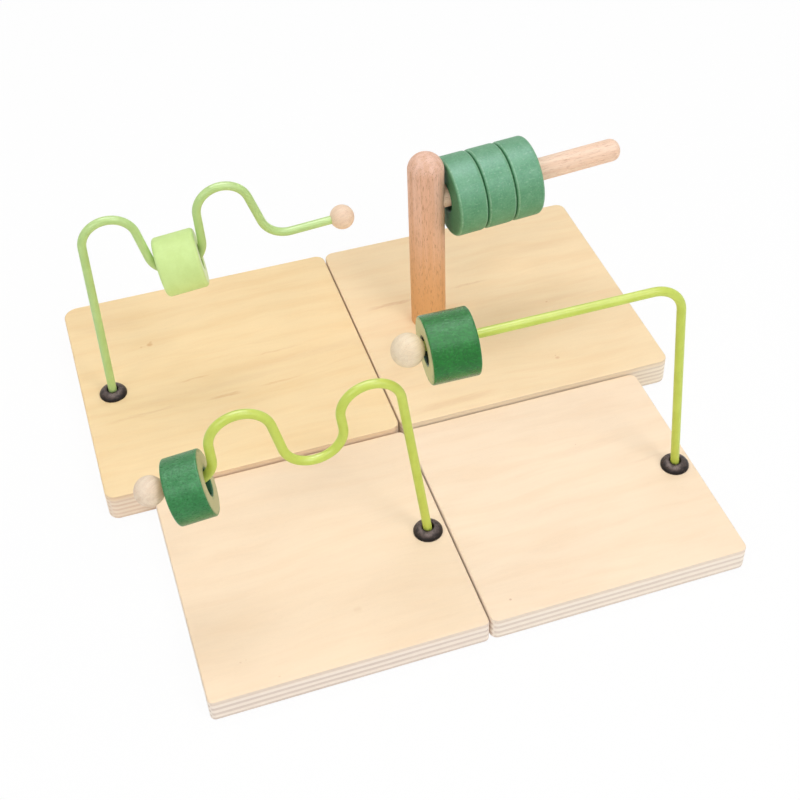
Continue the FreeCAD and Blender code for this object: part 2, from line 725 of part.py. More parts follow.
def make_left_bead():
    """Bead that hangs where the front left wire bends to its ball."""
    body = turned_ring("front_left_bead", "Sizes.bead_wide", "Sizes.bead_bore",
                       "Sizes.bead_short", "Sizes.bead_round")
    reach = "Sizes.left_tail_bend + " + BORE + " - " + WIRE + " - Sizes.run_gap"
    depth = number(reach + " - Sizes.left_bead_lift")
    swing = math.radians(number("Sizes.left_bead_swing_angle"))
    middle = bend_middle("front_left", 4)
    where = middle + Vector(-math.sin(swing), 0, -math.cos(swing)) * depth
    where.y -= number("Sizes.left_bead_ahead")
    body.Placement = Placement(where, bead_turn("Sizes.left_bead_tilt_angle", "Sizes.left_bead_turn_angle"))
    return body


def make_right_bead():
    """Bead that hangs on the level arm, beside the ball."""
    body = turned_ring("front_right_bead", "Sizes.bead_wide", "Sizes.bead_bore",
                       "Sizes.bead_long", "Sizes.bead_round")
    along = number("Sizes.right_ball / 2 + Sizes.right_bead_gap + Sizes.bead_long / 2")
    slope = math.tan(math.radians(number("Sizes.right_bead_tilt_angle")))
    drop = number(BORE + " - " + WIRE + " - Sizes.run_gap - Sizes.right_bead_ease")
    drop -= number("Sizes.bead_long / 2") * slope
    end = spot_on_wire("front_right", trace("front_right")[0][-1]["end"])
    where = end + Vector(along, number("Sizes.right_bead_behind"), -drop)
    body.Placement = Placement(where, bead_turn("Sizes.right_bead_tilt_angle", "Sizes.right_bead_turn_angle"))
    return body


def rod_turn():
    """Turn of the post and its rod about the upright."""
    return Rotation(Vector(0, 0, 1), number("Sizes.rod_turn_angle"))


def make_post():
    """Round post with a domed top, a slanting socket and a pilot hole below."""
    body = new_body("back_right_post")
    wide = "Sizes.post_wide / 2"
    shoulder = "Sizes.post_high - Sizes.post_dome"
    bend = number("Sizes.post_dome")
    flat = number(wide) - bend
    half = math.radians(RIGHT_ANGLE / 2)
    bulge = ("%r mm" % (flat + bend * math.cos(half)),
             "%r mm" % (number(shoulder) + bend * math.sin(half)))
    points = [
        ("0", "0"),
        (wide, "0"),
        (wide, shoulder),
        (wide + " - Sizes.post_dome", "Sizes.post_high"),
        ("0", "Sizes.post_high"),
    ]
    profile = outline_sketch(body, "XZ_Plane", "post_outline", points,
                             arcs=[(POST_DOME, bulge)], radii=[(POST_DOME, "Sizes.post_dome")])
    turned(body, profile, "post_turned")
    socket = [
        ("-Sizes.socket_past", "0"),
        (wide + " + Sizes.overrun", "0"),
        (wide + " + Sizes.overrun", "Sizes.rod_wide / 2 + Sizes.rod_fit"),
        ("-Sizes.socket_past", "Sizes.rod_wide / 2 + Sizes.rod_fit"),
    ]
    bore = outline_sketch(body, "XZ_Plane", "socket_outline", socket)
    bore.AttachmentOffset = Placement(Vector(0, 0, 0), Rotation(Vector(0, 0, 1), number("Sizes.rod_tilt_angle")))
    bore.setExpression("AttachmentOffset.Base.y", "Sizes.rod_high")
    turned(body, bore, "post_socket", axis="H_Axis", cut=True)
    pilot = new_sketch(body, "XY_Plane", "pilot_circle")
    add_circle(pilot, "2 * " + SHANK_HOLE)
    pocket_up(body, pilot, "pilot_hole", PILOT)
    x, y = leg_place("back_right")
    place(body, x, y, "Sizes.back_thick", rod_turn())
    return body


PILOT = "Sizes.screw_long + Sizes.screw_sunk + Sizes.pilot_past - Sizes.back_thick"


def make_screw():
    """Countersunk screw from below the board into the post."""
    body = new_body("back_right_screw")
    head = "Sizes.screw_head / 2"
    shank = "Sizes.screw_wide / 2"
    points = [
        ("0", "0"),
        (head, "0"),
        (head, "Sizes.screw_rim"),
        (shank, "Sizes.screw_rim + " + head + " - " + shank),
        (shank, "Sizes.screw_long - Sizes.screw_point"),
        ("Sizes.screw_tip / 2", "Sizes.screw_long"),
        ("0", "Sizes.screw_long"),
    ]
    profile = outline_sketch(body, "XZ_Plane", "screw_outline", points)
    turned(body, profile, "screw_turned")
    arm = "(Sizes.cross_wide / 2)"
    slot = "(Sizes.cross_slot / 2)"
    corners = [(arm, "-" + slot), (arm, slot), (slot, slot), (slot, arm), ("-" + slot, arm),
               ("-" + slot, slot), ("-" + arm, slot), ("-" + arm, "-" + slot),
               ("-" + slot, "-" + slot), ("-" + slot, "-" + arm), (slot, "-" + arm),
               (slot, "-" + slot)]
    cross = outline_sketch(body, "XY_Plane", "screw_cross", corners)
    pocket_up(body, cross, "screw_recess", "Sizes.cross_deep")
    x, y = leg_place("back_right")
    place(body, x, y, "Sizes.screw_sunk")
    return body


ROD_END = 2


def rod_frame():
    """Start of the rod's axis at the post's middle, and the rod's rotation."""
    x, y = leg_place("back_right")
    start = Vector(number(x), number(y), number("Sizes.back_thick + Sizes.rod_high"))
    tilt = Rotation(Vector(0, -1, 0), number("Sizes.rod_tilt_angle"))
    return start, rod_turn().multiply(tilt)


def make_rod():
    """Slanting rod glued in the post's socket, with a round free end."""
    body = new_body("back_right_rod")
    wide = "Sizes.rod_wide / 2"
    start = "-Sizes.socket_past"
    end = "(Sizes.rod_long - Sizes.socket_past)"
    soft = number("Sizes.rod_round")
    tip = number(end)
    diagonal = soft * (1 - math.cos(math.radians(RIGHT_ANGLE / 2)))
    bulge = ("%r mm" % (tip - diagonal), "%r mm" % (number(wide) - diagonal))
    points = [
        (start, "0"),
        (end, "0"),
        (end, wide + " - Sizes.rod_round"),
        (end + " - Sizes.rod_round", wide),
        (start + " + Sizes.rod_ease", wide),
        (start, wide + " - Sizes.rod_ease"),
    ]
    profile = outline_sketch(body, "XZ_Plane", "rod_outline", points,
                             arcs=[(ROD_END, bulge)], radii=[(ROD_END, "Sizes.rod_round")])
    turned(body, profile, "rod_turned", axis="H_Axis")
    place_at, turn = rod_frame()
    body.Placement = Placement(place_at, turn)
    return body


def make_disc(order):
    """Stacking disc on the rod, counted from the post."""
    body = turned_ring("back_right_disc_%d" % (order + 1), "Sizes.disc_wide", "Sizes.disc_bore",
                       "Sizes.disc_thick", "Sizes.disc_round")
    start, turn = rod_frame()
    pitch = number("Sizes.disc_thick + Sizes.disc_gap")
    along = number("Sizes.disc_start + Sizes.disc_thick / 2") + order * pitch
    drop = number("Sizes.disc_bore / 2 - Sizes.rod_wide / 2 - Sizes.run_gap")
    body.Placement = Placement(start + turn.multVec(Vector(along, 0, -drop)), turn)
    return body


def check(pieces):
    """Stops with a message if any object is in error or any piece is no valid solid."""
    for item in doc.Objects:
        if "Invalid" in item.State or "Error" in item.State:
            raise RuntimeError("not computed: " + item.Name)
    for piece in pieces:
        shape = piece.Shape
        if shape.isNull() or not shape.isValid() or shape.Volume <= 0:
            raise RuntimeError("bad shape: " + piece.Label)
        if len(shape.Solids) != 1:
            raise RuntimeError("not one solid: " + piece.Label)


DISCS = 3
pieces = [make_board(station) for station in STATIONS]
for station in WIRES:
    pieces.append(make_wire(station))
    pieces.append(make_collar(station))
    pieces.append(make_washer(station))
    pieces.append(make_nut(station))
pieces.append(make_ball("back_left", "Sizes.back_ball"))
pieces.append(make_ball("front_left", "Sizes.left_ball"))
pieces.append(make_ball("front_right", "Sizes.right_ball"))
pieces.append(make_back_bead())
pieces.append(make_left_bead())
pieces.append(make_right_bead())
pieces.append(make_post())
pieces.append(make_screw())
pieces.append(make_rod())
for order in range(DISCS):
    pieces.append(make_disc(order))

doc.recompute()
check(pieces)
os.makedirs("parts", exist_ok=True)
for piece in pieces:
    piece.Shape.exportStep("parts/" + piece.Label + ".step")
    print(piece.Label, round(piece.Shape.Volume, 1), piece.Shape.BoundBox)
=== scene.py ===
import math

import bpy
from mathutils import Matrix, Vector


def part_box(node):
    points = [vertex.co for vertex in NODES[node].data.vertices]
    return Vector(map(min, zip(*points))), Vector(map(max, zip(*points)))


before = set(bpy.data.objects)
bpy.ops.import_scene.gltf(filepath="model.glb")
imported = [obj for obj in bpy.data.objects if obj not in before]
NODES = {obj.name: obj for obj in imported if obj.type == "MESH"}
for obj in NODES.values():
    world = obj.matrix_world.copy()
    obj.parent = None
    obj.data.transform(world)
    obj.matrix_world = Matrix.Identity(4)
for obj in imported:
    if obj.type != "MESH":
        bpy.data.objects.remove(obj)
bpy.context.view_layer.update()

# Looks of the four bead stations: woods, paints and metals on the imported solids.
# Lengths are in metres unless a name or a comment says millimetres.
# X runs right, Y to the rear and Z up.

MM = 0.001
# Noise mostly stays between these two values.
NOISE_LOW, NOISE_HIGH = 0.3, 0.7
WHITE = (1.0, 1.0, 1.0, 1.0)


def srgb(red, green, blue):
    """Linear colour of a screen colour given in 0 to 255."""
    def linear(value):
        share = value / 255.0
        if share <= 0.04045:
            return share / 12.92
        return ((share + 0.055) / 1.055) ** 2.4
    return (linear(red), linear(green), linear(blue), 1.0)


class Graph:
    """Short names for building one material's nodes. Its coordinates are in millimetres."""

    def __init__(self, name):
        self.material = bpy.data.materials.new(name)
        self.material.use_nodes = True
        self.tree = self.material.node_tree
        self.tree.nodes.clear()
        self.output = self.tree.nodes.new("ShaderNodeOutputMaterial")
        self.shader = self.tree.nodes.new("ShaderNodeBsdfPrincipled")
        self.link(self.shader.outputs[0], self.output.inputs["Surface"])
        self.coordinates = self.tree.nodes.new("ShaderNodeTexCoord")

    def link(self, source, target):
        self.tree.links.new(source, target)

    def put(self, socket, value):
        """Sets a socket to a value, or links it to another socket."""
        if isinstance(value, bpy.types.NodeSocket):
            self.link(value, socket)
        else:
            socket.default_value = value

    def math(self, operation, first, second=0.0):
        node = self.tree.nodes.new("ShaderNodeMath")
        node.operation = operation
        self.put(node.inputs[0], first)
        self.put(node.inputs[1], second)
        return node.outputs[0]

    def add(self, first, second):
        return self.math("ADD", first, second)

    def less(self, first, second):
        return self.math("SUBTRACT", first, second)

    def times(self, first, second):
        return self.math("MULTIPLY", first, second)

    def more(self, first, second):
        return self.math("MAXIMUM", first, second)

    def size(self, value):
        return self.math("ABSOLUTE", value)

    def split(self, vector):
        node = self.tree.nodes.new("ShaderNodeSeparateXYZ")
        self.link(vector, node.inputs[0])
        return node.outputs[0], node.outputs[1], node.outputs[2]

    def join(self, x, y, z):
        node = self.tree.nodes.new("ShaderNodeCombineXYZ")
        for socket, value in zip(node.inputs, (x, y, z)):
            self.put(socket, value)
        return node.outputs[0]

    def length(self, x, y, z):
        """Length of the vector with these parts."""
        node = self.tree.nodes.new("ShaderNodeVectorMath")
        node.operation = "LENGTH"
        self.link(self.join(x, y, z), node.inputs[0])
        return node.outputs["Value"]

    def noise(self, vector, detail=2.0, rough=0.5):
        """Noise of about one bump for each unit of the vector."""
        node = self.tree.nodes.new("ShaderNodeTexNoise")
        self.link(vector, node.inputs["Vector"])
        node.inputs["Scale"].default_value = 1.0
        node.inputs["Detail"].default_value = detail
        node.inputs["Roughness"].default_value = rough
        return node.outputs["Fac"]

    def grain(self, spot, x, y, z, detail=2.0, rough=0.5):
        """Noise of about x, y and z bumps for each millimetre along the axes."""
        node = self.tree.nodes.new("ShaderNodeVectorMath")
        node.operation = "MULTIPLY"
        self.link(spot, node.inputs[0])
        node.inputs[1].default_value = (x, y, z)
        return self.noise(node.outputs["Vector"], detail, rough)

    def span(self, value, low, high, new_low=0.0, new_high=1.0, smooth=False):
        """Maps low..high to new_low..new_high and clamps."""
        node = self.tree.nodes.new("ShaderNodeMapRange")
        node.interpolation_type = "SMOOTHSTEP" if smooth else "LINEAR"
        for socket, item in zip(node.inputs, (value, low, high, new_low, new_high)):
            self.put(socket, item)
        return node.outputs[0]

    def spread(self, noise, new_low, new_high):
        """Maps the usual reach of a noise to new_low..new_high."""
        return self.span(noise, NOISE_LOW, NOISE_HIGH, new_low, new_high)

    def band(self, value, middle, reach, soft):
        """One within reach of the middle, falling to zero over the soft length."""
        away = self.size(self.less(value, middle))
        return self.span(away, reach, reach + soft, 1.0, 0.0, True)

    def mix(self, share, first, second, mode="MIX"):
        node = self.tree.nodes.new("ShaderNodeMix")
        node.data_type = "RGBA"
        node.blend_type = mode
        node.clamp_factor = True
        self.put(node.inputs[0], share)
        self.put(node.inputs[6], first)
        self.put(node.inputs[7], second)
        return node.outputs[2]

    def shade(self, colour, value, darkest, lightest, low=NOISE_LOW, high=NOISE_HIGH):
        """Multiplies a colour by a grey that follows the value from low to high."""
        grey = self.span(value, low, high, darkest, lightest)
        return self.mix(1.0, colour, self.join(grey, grey, grey), "MULTIPLY")

    def bump(self, height, distance):
        """Bump whose height of 0..1 stands for a distance in metres."""
        node = self.tree.nodes.new("ShaderNodeBump")
        node.inputs["Strength"].default_value = 1.0
        node.inputs["Distance"].default_value = distance
        self.link(height, node.inputs["Height"])
        return node.outputs[0]

    def local(self, centre=(0.0, 0.0, 0.0), turn=(0.0, 0.0, 0.0)):
        """Coordinates in millimetres about a centre, along axes turned by degrees."""
        node = self.tree.nodes.new("ShaderNodeMapping")
        node.vector_type = "TEXTURE"
        self.link(self.coordinates.outputs["Object"], node.inputs["Vector"])
        node.inputs["Location"].default_value = centre
        node.inputs["Rotation"].default_value = [math.radians(angle) for angle in turn]
        node.inputs["Scale"].default_value = (MM, MM, MM)
        return node.outputs[0]

    def facing(self):
        """Parts of the surface's normal along the object's axes."""
        return self.split(self.coordinates.outputs["Normal"])

    def finish(self, colour, roughness, normal=None, **constants):
        self.put(self.shader.inputs["Base Color"], colour)
        self.put(self.shader.inputs["Roughness"], roughness)
        if normal is not None:
            self.link(normal, self.shader.inputs["Normal"])
        for name, value in constants.items():
            self.shader.inputs[name.replace("_", " ")].default_value = value
        return self.material


def dress(node, material):
    """Gives a CAD node its material."""
    data = NODES[node].data
    data.materials.clear()
    data.materials.append(material)


def middle(node):
    """Middle of a CAD node's box."""
    low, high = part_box(node)
    return (low + high) / 2


# Plywood boards. Pitch is the height of two crossed plies, first the height of the middle of the
# uppermost one that shows end grain at the front, and thick the board's thickness. A stain is a
# mark along the grain: middle x and y, half length, half width, slope and strength. A speck is a
# small dark dot or knot: x, y, radius and strength. Lengths are in millimetres, and x and y count
# from the middle of the board.
REAR_PLIES = {"pitch": 3.22, "first": 17.3, "thick": 18.0}
FRONT_PLIES = {"pitch": 4.1, "first": 13.5, "thick": 15.0}
GLUE, GLUE_SHARE = srgb(176, 142, 114), 0.28
TOP_EDGE, FLOOR_CONTACT_SHADE = srgb(196, 158, 122), srgb(176, 152, 132)
# Millimetres below the top face where each tone starts and is full, and above the floor for the last,
# which is painted contact shade along the floor.
# The top plies' tone is warmed on the rear boards as painted bounce light from the front boards' tops.
TOP_PLY_START, TOP_PLY_FULL = 3.6, 2.4
TOP_EDGE_START, TOP_EDGE_FULL = 0.9, 0.3
FLOOR_SHADE_FULL, FLOOR_SHADE_START = 0.4, 1.6
BOARDS = {
    "back_left": {
        "plies": REAR_PLIES, "seed": 11.0,
        "face": srgb(253, 223, 172), "figure": srgb(246, 208, 150), "stain": srgb(214, 152, 86),
        "ply_pale": srgb(252, 231, 208), "ply_dark": srgb(235, 206, 178),
        "top_ply_and_bounce": srgb(240, 198, 132),
        "stains": [(-55.0, -26.0, 21.0, 1.2, 0.05, 0.2), (-5.0, -26.5, 9.0, 1.0, 0.03, 0.34),
                   (30.0, -25.0, 12.0, 0.7, 0.02, 0.22), (50.0, -6.0, 40.0, 3.4, 0.03, 0.14),
                   (-19.0, -5.0, 9.0, 0.6, 0.03, 0.26), (-20.0, -17.0, 60.0, 2.4, 0.04, 0.10),
                   (34.0, 3.0, 14.0, 0.6, 0.02, 0.20), (-62.0, 62.0, 20.0, 4.0, 0.0, 0.10)],
        "specks": [(-40.1, 35.3, 1.7, 0.5), (-39.2, 37.4, 0.9, 0.3), (-45.6, 34.6, 0.8, 0.25)]},
    "back_right": {
        "plies": REAR_PLIES, "seed": 37.0,
        "face": srgb(253, 225, 181), "figure": srgb(247, 211, 162), "stain": srgb(214, 156, 100),
        "ply_pale": srgb(251, 237, 216), "ply_dark": srgb(228, 210, 188),
        "top_ply_and_bounce": srgb(244, 214, 166),
        "stains": [(-60.0, 21.8, 15.0, 1.5, 0.02, 0.42), (-5.0, 24.5, 11.0, 0.9, 0.02, 0.28),
                   (-50.0, -78.0, 24.0, 2.6, 0.02, 0.22), (42.0, -8.0, 22.0, 2.4, -0.02, 0.12),
                   (50.0, 46.0, 30.0, 4.0, 0.02, 0.10), (10.0, 63.0, 30.0, 3.0, 0.03, 0.08)],
        "specks": [(36.7, -9.6, 0.8, 0.42), (22.7, -62.3, 1.3, 0.4), (22.3, -60.0, 0.5, 0.4)]},
    "front_left": {
        "plies": FRONT_PLIES, "seed": 59.0,
        "face": srgb(252, 225, 191), "figure": srgb(248, 217, 180), "stain": srgb(222, 178, 134),
        "ply_pale": srgb(252, 238, 224), "ply_dark": srgb(222, 203, 188),
        "top_ply_and_bounce": srgb(250, 230, 206),
        "stains": [(11.9, -43.2, 2.2, 1.6, 0.0, 0.2), (-45.0, 12.0, 26.0, 6.0, 0.04, 0.08),
                   (10.0, -4.0, 30.0, 3.0, 0.03, 0.07)],
        "specks": [(-54.0, -55.6, 0.55, 0.35), (-51.0, -55.0, 0.35, 0.3), (-37.3, -70.5, 0.6, 0.3)]},
    "front_right": {
        "plies": FRONT_PLIES, "seed": 83.0,
        "face": srgb(254, 228, 197), "figure": srgb(249, 218, 183), "stain": srgb(214, 170, 132),
        "ply_pale": srgb(253, 240, 225), "ply_dark": srgb(226, 208, 192),
        "top_ply_and_bounce": srgb(250, 231, 207),
        "stains": [(20.0, 26.0, 22.0, 2.8, 0.05, 0.10), (-20.0, -12.0, 26.0, 4.0, 0.03, 0.07),
                   (52.0, 6.0, 10.0, 0.8, 0.05, 0.14)],
        "specks": [(-60.6, -63.8, 0.7, 0.7), (28.3, -75.9, 0.5, 0.5), (16.6, 30.2, 0.45, 0.4)]},
}


def board_marks(graph, colour, spot, look):
    """Brown streaks, knots and specks of one board."""
    x, y = graph.split(spot)[:2]
    ragged = graph.grain(spot, 0.10, 0.5, 0.0, 3.0)
    shift = graph.span(ragged, 0.2, 0.8, -1.1, 1.1)
    fray = graph.grain(spot, 0.22, 2.6, 0.0)
    total = None
    for at, side, half, wide, slope, strength in look["stains"]:
        line = graph.add(graph.less(y, side), shift)
        line = graph.less(line, graph.times(graph.less(x, at), slope))
        across = graph.band(line, 0.0, wide * 0.25, wide * 1.35)
        along = graph.band(x, at, half * 0.45, half * 0.9)
        mark = graph.times(graph.times(across, along), strength)
        total = mark if total is None else graph.more(total, mark)
    total = graph.times(total, graph.spread(fray, 0.55, 1.25))
    for at, side, radius, strength in look["specks"]:
        gap = graph.length(graph.times(graph.less(x, at), 0.8), graph.less(y, side), 0.0)
        dot = graph.span(gap, radius * 0.35, radius * 1.25, strength, 0.0, True)
        total = graph.more(total, dot)
    return graph.mix(total, colour, look["stain"])


def board_plies(graph, spot, look):
    """Crossed plies along the edges, with glue lines between them, and the depth of their pits."""
    z = graph.split(spot)[2]
    plies = look["plies"]
    thick = plies["thick"]
    wave = graph.grain(spot, 0.02, 0.02, 0.2)
    level = graph.add(z, graph.span(wave, 0.25, 0.75, -0.32, 0.32))
    turns = graph.times(graph.less(level, plies["first"]), 2.0 * math.pi / plies["pitch"])
    swing = graph.math("COSINE", turns)
    # Side faces cut the plies the other way round from the front and rear ones.
    across, ahead = graph.facing()[:2]
    sideways = graph.span(graph.less(graph.size(across), graph.size(ahead)), -0.3, 0.3, 1.0, -1.0)
    end_grain = graph.span(graph.times(swing, sideways), 0.0, 0.6, 0.0, 1.0, True)
    glue = graph.band(swing, 0.02, 0.02, 0.16)
    pores = graph.grain(spot, 3.2, 3.2, 1.4, 2.0, 0.6)
    runs = graph.grain(spot, 0.12, 0.12, 4.2, 3.0, 0.6)
    pale = graph.shade(look["ply_pale"], runs, 0.955, 1.02)
    dark = graph.shade(look["ply_dark"], pores, 0.90, 1.07, high=0.72)
    # Some plies show their end grain more than others.
    lot = graph.noise(graph.join(0.0, 0.0, graph.times(level, 0.31)), 1.0)
    strength = graph.span(lot, 0.35, 0.65, 0.72, 1.0)
    colour = graph.mix(graph.times(end_grain, strength), pale, dark)
    colour = graph.mix(graph.times(glue, GLUE_SHARE), colour, GLUE)
    # Painted bounce light: on the rear boards the top plies turn warmer, as if lit by the front boards.
    top_ply_and_bounce_share = graph.span(z, thick - TOP_PLY_START, thick - TOP_PLY_FULL, 0.0, 0.3, True)
    colour = graph.mix(top_ply_and_bounce_share, colour, look["top_ply_and_bounce"])
    top_edge = graph.span(z, thick - TOP_EDGE_START, thick - TOP_EDGE_FULL, 0.0, 0.3, True)
    colour = graph.mix(top_edge, colour, TOP_EDGE)
    # Painted contact shade: the edges darken over the last millimetres above the floor.
    floor_contact_shade = graph.span(z, FLOOR_SHADE_FULL, FLOOR_SHADE_START, 0.22, 0.0, True)
    return graph.mix(floor_contact_shade, colour, FLOOR_CONTACT_SHADE), graph.times(pores, end_grain)


def plywood(station):
    """Birch plywood: faintly figured veneer above and below, crossed plies along the edges."""
    look = BOARDS[station]
    graph = Graph(station + "_birch_plywood")
    centre = middle(station + "_board")
    spot = graph.local((centre.x, centre.y, 0.0))
    x, y, z = graph.split(spot)
    own = graph.add(z, look["seed"])
    sway = graph.noise(graph.join(graph.times(x, 0.009), graph.times(y, 0.022), own))
    lane = graph.add(y, graph.span(sway, 0.0, 1.0, -11.0, 11.0))
    broad = graph.noise(graph.join(graph.times(x, 0.016), graph.times(lane, 0.11), own), 3.0, 0.55)
    lines = graph.noise(graph.join(graph.times(x, 0.05), graph.times(lane, 0.5), own), 4.0, 0.6)
    pores = graph.noise(graph.join(graph.times(x, 0.42), graph.times(lane, 4.4), own), 2.0, 0.6)
    clouds = graph.grain(spot, 0.028, 0.05, 0.05)
    figure = graph.span(broad, 0.36, 0.74, 0.0, 0.55, True)
    colour = graph.mix(figure, look["face"], look["figure"])
    colour = graph.shade(colour, lines, 0.982, 1.008)
    colour = graph.shade(colour, clouds, 0.985, 1.01)
    colour = graph.shade(colour, pores, 1.0, 0.945, 0.56, 0.74)
    colour = board_marks(graph, colour, spot, look)
    edge, pits = board_plies(graph, spot, look)
    upright = graph.span(graph.size(graph.facing()[2]), 0.62, 0.86, 1.0, 0.0)
    colour = graph.mix(upright, colour, edge)
    height = graph.add(graph.times(lines, 0.6), graph.times(pores, -0.5))
    height = graph.less(height, graph.times(graph.times(pits, upright), 1.2))
    roughness = graph.span(pores, 0.35, 0.75, 0.44, 0.58)
    return graph.finish(colour, roughness, graph.bump(height, 0.03 * MM), Specular_IOR_Level=0.3)


for station in BOARDS:
    dress(station + "_board", plywood(station))

# Bare turned wood. The grain runs along the local X axis, which the turn sets in degrees. A second
# tone grows from start to end along it, in millimetres from the middle, so that the post turns more
# orange towards the foot.
TURNED = {
    "back_right_post": {
        "name": "post_beech", "turn": (0.0, -90.0, 3.0), "fleck_share": 0.6,
        "pale": srgb(242, 200, 178), "figure": srgb(231, 184, 156), "fleck": srgb(150, 92, 58),
        "tone_shift": {"start": 50.0, "end": -50.0, "tone": srgb(229, 171, 109), "share": 0.9}},
    "back_right_rod": {
        "name": "rod_beech", "turn": (0.0, -1.8, 3.0), "fleck_share": 0.5,
        "pale": srgb(253, 223, 199), "figure": srgb(246, 209, 181), "fleck": srgb(186, 124, 86)},
    "back_left_ball": {
        "name": "back_left_ball_wood", "turn": (0.0, -16.0, 0.0), "fleck_share": 0.22,
        "pale": srgb(246, 218, 190), "figure": srgb(240, 208, 180), "fleck": srgb(178, 140, 104)},
    "front_left_ball": {
        "name": "front_left_ball_wood", "turn": (0.0, 12.0, 35.0), "fleck_share": 0.22,
        "pale": srgb(243, 223, 199), "figure": srgb(234, 210, 184), "fleck": srgb(178, 140, 104)},
    "front_right_ball": {
        "name": "front_right_ball_wood", "turn": (0.0, 0.0, 20.0), "fleck_share": 0.22,
        "pale": srgb(243, 224, 194), "figure": srgb(237, 215, 183), "fleck": srgb(178, 140, 104)},
}


def turned_wood(node, look):
    """Wood with soft growth bands and short dark flecks along the grain."""
    graph = Graph(look["name"])
    spot = graph.local(middle(node), look["turn"])
    bands = graph.grain(spot, 0.012, 0.34, 0.30)
    fine = graph.grain(spot, 0.07, 1.9, 1.9, 3.0, 0.6)
    dashes = graph.grain(spot, 0.2, 3.1, 3.1, 2.0, 0.55)
    rays = graph.grain(spot, 0.4, 4.0, 2.0, 1.0)
    colour = graph.mix(graph.span(bands, 0.36, 0.66, 0.0, 1.0, True), look["pale"], look["figure"])
    colour = graph.shade(colour, fine, 0.93, 1.05)
    if "tone_shift" in look:
        tone_shift = look["tone_shift"]
        shifted = graph.span(graph.split(spot)[0], tone_shift["start"], tone_shift["end"], 0.0, tone_shift["share"], True)
        colour = graph.mix(shifted, colour, tone_shift["tone"])
    share = look["fleck_share"]
    marks = graph.span(dashes, 0.57, 0.67, 0.0, share, True)
    marks = graph.more(marks, graph.span(rays, 0.70, 0.80, 0.0, share * 0.6, True))
    colour = graph.mix(marks, colour, look["fleck"])
    height = graph.less(graph.times(fine, 0.5), marks)
    return graph.finish(colour, graph.spread(fine, 0.5, 0.64), graph.bump(height, 0.04 * MM),
                        Specular_IOR_Level=0.2)


for node, look in TURNED.items():
    dress(node, turned_wood(node, look))

# Painted rings. The local X axis is the bore's, and the middle of the ring is its origin. Length,
# diameter, bore and rounding are the solid's own, in millimetres. Relief is in metres.
# Bore shades darken the bore walls as painted shade.
# Sheen specks are pale flecks painted in as sheen.
# The shifted rim tone is partly worn paint and partly a painted highlight along the rounded rims.
PALE_BEAD = {
    "long": 24.6, "wide": 35.0, "bore": 14.5, "round": 2.3,
    "body": srgb(212, 237, 156), "deep": srgb(208, 233, 150), "pale": srgb(222, 243, 182),
    "grain": 0.01, "sheen_speck": 0.06, "mottle": 0.01,
    "shifted": srgb(222, 242, 186), "tone_shift": 0.2,
    "face": srgb(226, 240, 196), "face_ring": srgb(212, 230, 170), "smear": 0.35, "bare": 0.3,
    "bore_shade": srgb(150, 176, 104),
    "gloss": 0.48, "relief": 0.03 * MM, "shine": 0.15, "tint": WHITE}
LEFT_BEAD = {
    "long": 19.1, "wide": 35.0, "bore": 14.5, "round": 1.2,
    "body": srgb(46, 122, 62), "deep": srgb(34, 112, 52), "pale": srgb(96, 170, 108),
    "grain": 0.06, "sheen_speck": 0.36, "mottle": 0.2,
    "shifted": srgb(96, 160, 108), "tone_shift": 0.3,
    "face": srgb(194, 188, 142), "face_ring": srgb(178, 172, 126), "smear": 0.35, "bare": 1.0,
    "bore_shade": srgb(38, 84, 58),
    "gloss": 0.24, "relief": 0.3 * MM, "shine": 0.55, "tint": (0.7, 1.0, 0.82, 1.0)}
RIGHT_BEAD = dict(
    LEFT_BEAD, long=24.6, body=srgb(22, 112, 32), deep=srgb(12, 102, 24), pale=srgb(66, 156, 70),
    shifted=srgb(60, 140, 66), face=srgb(208, 206, 156), face_ring=srgb(188, 188, 136),
    bore_shade=srgb(22, 34, 26), gloss=0.17, relief=0.24 * MM, sheen_speck=0.28)
DISC_PAINT = {
    "long": 18.2, "wide": 48.9, "bore": 17.8, "round": 2.2,
    "body": srgb(97, 155, 112), "deep": srgb(87, 148, 104), "pale": srgb(172, 206, 178),
    "grain": 0.05, "sheen_speck": 0.34, "mottle": 0.08,
    "shifted": srgb(170, 208, 172), "tone_shift": 0.5,
    # The discs' faces are their body paint darkened as painted shade on the upright faces.
    "face": srgb(72, 130, 90), "face_ring": srgb(64, 120, 82), "smear": 0.5, "bare": 0.3,
    "bore_shade": srgb(52, 84, 66),
    "gloss": 0.42, "relief": 0.2 * MM, "shine": 0.5, "tint": (0.75, 0.92, 1.0, 1.0)}
# Material name, turn of the ring in degrees and paint
RINGS = {
    "back_left_bead": ("pale_green_paint", (0.0, -8.8, -5.0), PALE_BEAD),
    "front_left_bead": ("dull_green_stain", (0.0, -12.4, -7.6), LEFT_BEAD),
    "front_right_bead": ("dark_green_gloss", (0.0, -2.2, -3.2), RIGHT_BEAD),
    "back_right_disc_1": ("back_right_disc_1_sage_paint", (0.0, -1.8, 3.0), DISC_PAINT),
    "back_right_disc_2": ("back_right_disc_2_sage_paint", (70.0, -1.8, 3.0), DISC_PAINT),
    "back_right_disc_3": ("back_right_disc_3_sage_paint", (160.0, -1.8, 3.0), DISC_PAINT),
}
# The tree's heart beside the ring's axis in millimetres, and radians of growth ring for each of them
HEART_Y, HEART_Z = -31.0, 17.0
RING_TURN = 2.7


